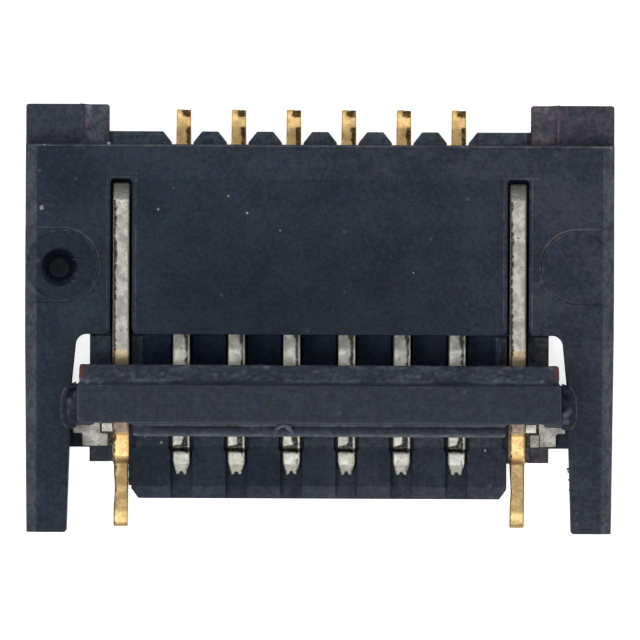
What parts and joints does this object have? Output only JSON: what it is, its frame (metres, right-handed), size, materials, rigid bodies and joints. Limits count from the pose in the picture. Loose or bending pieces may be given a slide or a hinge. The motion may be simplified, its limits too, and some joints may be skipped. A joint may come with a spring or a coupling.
{
  "type": "fpc connector",
  "caption": "Low profile rear flip connector for a flexible printed circuit, with a hinged cam lever, surface mount contacts and hold downs at both ends.",
  "frame": {"origin": "bottom centre of the bounding box, on the board's surface", "axes": "+X along the row of contacts, +Y towards the side where the flexible circuit enters, +Z away from the board"},
  "size_m": [0.0054, 0.0038, 0.0016],
  "materials": {
    "housing_plastic": "matte black moulded liquid crystal polymer",
    "lever_plastic": "matte black moulded liquid crystal polymer",
    "contact_metal": "phosphor bronze, gold plated tails and sheared silvery edges",
    "hold_down_metal": "phosphor bronze, tin plated with a gold coloured tail"
  },
  "bodies": {
    "base": {"housing": "housing_plastic", "contact_1": "contact_metal", "contact_2": "contact_metal", "contact_3": "contact_metal", "contact_4": "contact_metal", "contact_5": "contact_metal", "contact_6": "contact_metal", "hold_down_left": "hold_down_metal", "hold_down_right": "hold_down_metal"},
    "flip_lever": {"lever": "lever_plastic"}
  },
  "joints": [
    {"name": "lever_hinge", "type": "hinge", "parent": "base", "child": "flip_lever", "pos_m": [0, -0.00079, 0.00056], "axis": [1, 0, 0], "range_deg": [0, 90]}
  ]
}
